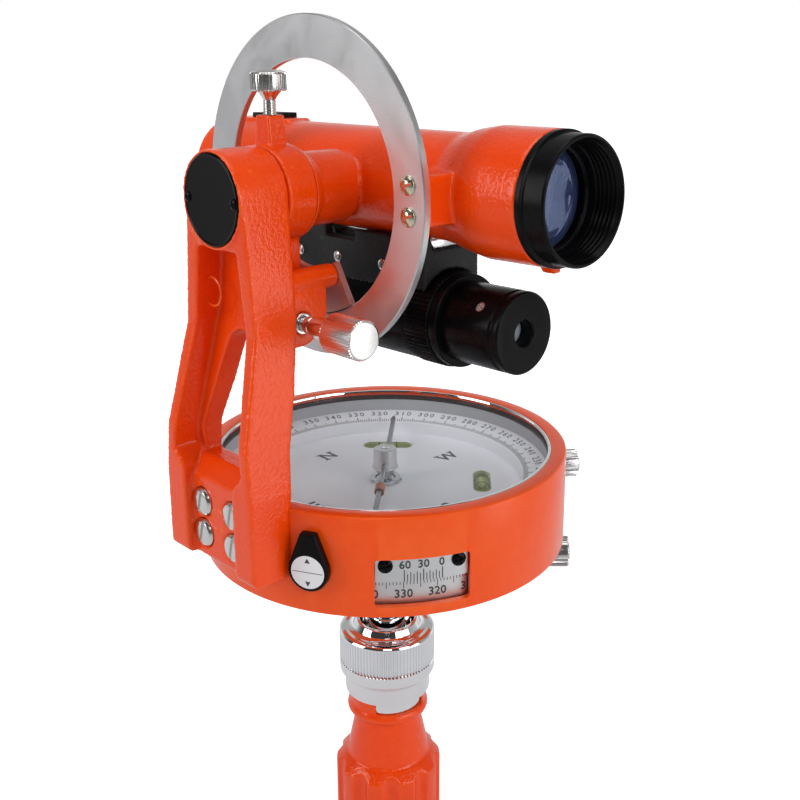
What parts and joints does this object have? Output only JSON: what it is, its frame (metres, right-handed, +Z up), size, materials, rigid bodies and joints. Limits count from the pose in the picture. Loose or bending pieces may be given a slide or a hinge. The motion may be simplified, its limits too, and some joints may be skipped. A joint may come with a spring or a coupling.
{
  "type": "surveyors compass",
  "caption": "Orange surveyors compass with sighting telescope, vertical circle and laser pointer on a ball-head grip",
  "frame": {"origin": "centre of the grip's lower face, on the vertical axis, at the mouth of the tripod socket", "axes": "+X along the line of sight toward the objective, +Y from the standard toward the telescope, +Z up"},
  "size_m": [0.1692, 0.1296, 0.3007],
  "materials": {
    "orange_paint": "gloss",
    "chrome": "polished",
    "bare_aluminium": "brushed",
    "steel": "satin",
    "brass": "satin",
    "black_anodised": "satin",
    "black_rubber": "matte",
    "dial_white": "satin",
    "liner_plastic": "matte",
    "glass": "clear",
    "coated_glass": "clear",
    "vial": "clear",
    "copper": "satin"
  },
  "bodies": {
    "base": {"mount_grip": "orange_paint", "socket_insert": "steel", "seat_stub": "chrome"},
    "nut": {"ball_clamp_nut": "chrome"},
    "cradle": {"ball_liner": "liner_plastic"},
    "pivot": {"ball_stud": "chrome", "axis_housing": "orange_paint", "azimuth_drum": "bare_aluminium"},
    "azimuth_clamp": {"azimuth_clamp_screw": "chrome"},
    "alidade": {"compass_box": "orange_paint", "box_floor": "orange_paint", "azimuth_vernier": "bare_aluminium", "vernier_screws": "black_anodised", "dial_plate": "dial_white", "degree_ring": "dial_white", "level_vials": "vial", "needle_post": "chrome", "cover_glass": "glass", "bezel_ring": "chrome", "glass_gasket": "black_rubber", "standard": "orange_paint", "standard_screws": "chrome", "head_cap": "black_anodised", "cap_screws": "steel", "head_bush": "brass", "tangent_bush": "chrome", "plunger_barrel": "chrome", "plunger_spring": "steel", "vertical_vernier": "bare_aluminium", "index_screws": "steel"},
    "selector": {"selector_knob": "black_anodised"},
    "lifter_cam": {"lifter_knob": "chrome"},
    "lifter": {"needle_lifter": "brass"},
    "needle": {"needle_blade": "steel", "needle_hub": "chrome", "needle_winding": "copper"},
    "collar": {"clamp_collar": "orange_paint", "clamp_shoe": "brass"},
    "collar_screw": {"clamp_screw": "chrome"},
    "tangent_carrier": {"tangent_tip": "steel"},
    "tangent_knob": {"tangent_screw": "chrome"},
    "plunger": {"spring_plunger": "steel"},
    "telescope": {"trunnion": "orange_paint", "telescope_tube": "orange_paint", "vertical_circle": "bare_aluminium", "circle_screws": "chrome", "objective_cell": "black_anodised", "objective_lens": "coated_glass", "reticle_ring": "brass", "eyepiece_barrel": "black_anodised", "eyepiece_lens": "glass", "sight_rail": "black_anodised", "dovetail_rail": "bare_aluminium", "laser_saddle": "black_anodised", "laser_screws": "steel", "laser_body": "black_anodised", "laser_head": "black_anodised", "laser_lens": "glass"},
    "dioptre": {"dioptre_ring": "black_rubber"},
    "laser_focus": {"laser_focus_ring": "black_anodised"}
  },
  "joints": [
    {"name": "nut_turn", "type": "hinge", "parent": "base", "child": "nut", "pos_m": [0, 0, 0.0885], "axis": [0, 0, 1], "range_deg": [-60, 60]},
    {"name": "ball_tilt_x", "type": "hinge", "parent": "base", "child": "cradle", "pos_m": [0, 0, 0.0885], "axis": [1, 0, 0], "range_deg": [-10, 10]},
    {"name": "ball_tilt_y", "type": "hinge", "parent": "cradle", "child": "pivot", "pos_m": [0, 0, 0.0885], "axis": [0, 1, 0], "range_deg": [-10, 10]},
    {"name": "azimuth_turn", "type": "hinge", "parent": "pivot", "child": "alidade", "pos_m": [0, 0, 0.1335], "axis": [0, 0, 1], "continuous": true},
    {"name": "azimuth_clamp_turn", "type": "hinge", "parent": "pivot", "child": "azimuth_clamp", "pos_m": [0.02121, 0.02121, 0.125], "axis": [0.7071, 0.7071, 0], "range_deg": [-45, 45]},
    {"name": "selector_turn", "type": "hinge", "parent": "alidade", "child": "selector", "pos_m": [0.02733, -0.05341, 0.1482], "axis": [-0.4555, 0.8902, 0], "range_deg": [0, 180]},
    {"name": "lifter_turn", "type": "hinge", "parent": "alidade", "child": "lifter_cam", "pos_m": [0.03442, 0.04915, 0.153], "axis": [0.5736, 0.8192, 0], "range_deg": [0, 90]},
    {"name": "lifter_rock", "type": "hinge", "parent": "alidade", "child": "lifter", "pos_m": [0.01434, 0.02048, 0.1466], "axis": [-0.8192, 0.5736, 0], "range_deg": [0, 1.05]},
    {"name": "needle_swing", "type": "hinge", "parent": "alidade", "child": "needle", "pos_m": [0, 0, 0.157], "axis": [0, 0, 1], "continuous": true},
    {"name": "collar_fine", "type": "hinge", "parent": "alidade", "child": "collar", "pos_m": [0, -0.042, 0.2516], "axis": [0, 1, 0], "range_deg": [-1.5, 1.5]},
    {"name": "clamp_turn", "type": "hinge", "parent": "collar", "child": "collar_screw", "pos_m": [0, -0.04195, 0.2716], "axis": [0, 0, 1], "range_deg": [-90, 90]},
    {"name": "telescope_tilt", "type": "hinge", "parent": "collar", "child": "telescope", "pos_m": [0, -0.03, 0.2516], "axis": [0, 1, 0], "range_deg": [-58, 60]},
    {"name": "tangent_travel", "type": "slide", "parent": "alidade", "child": "tangent_carrier", "axis": [1, 0, 0], "range_m": [-0.00094, 0.00094]},
    {"name": "tangent_turn", "type": "hinge", "parent": "tangent_carrier", "child": "tangent_knob", "pos_m": [0.03, -0.0432, 0.216], "axis": [1, 0, 0], "range_deg": [-480, 480]},
    {"name": "plunger_travel", "type": "slide", "parent": "alidade", "child": "plunger", "axis": [1, 0, 0], "range_m": [-0.00094, 0.00094]},
    {"name": "dioptre_turn", "type": "hinge", "parent": "telescope", "child": "dioptre", "pos_m": [-0.08499, 0, 0.25012], "axis": [0.9998, 0, 0.0175], "range_deg": [-150, 150]},
    {"name": "laser_focus_turn", "type": "hinge", "parent": "telescope", "child": "laser_focus", "pos_m": [0.02868, 0, 0.2131], "axis": [0.9998, 0, 0.0175], "range_deg": [-150, 150]}
  ],
  "couplings": [
    {"joint": "tangent_travel", "follows": "collar_fine", "m_per_rad": -0.0356},
    {"joint": "plunger_travel", "follows": "collar_fine", "m_per_rad": -0.0356},
    {"joint": "tangent_turn", "follows": "collar_fine", "ratio": -319.54},
    {"joint": "lifter_rock", "follows": "lifter_turn", "ratio": 0.011111}
  ]
}
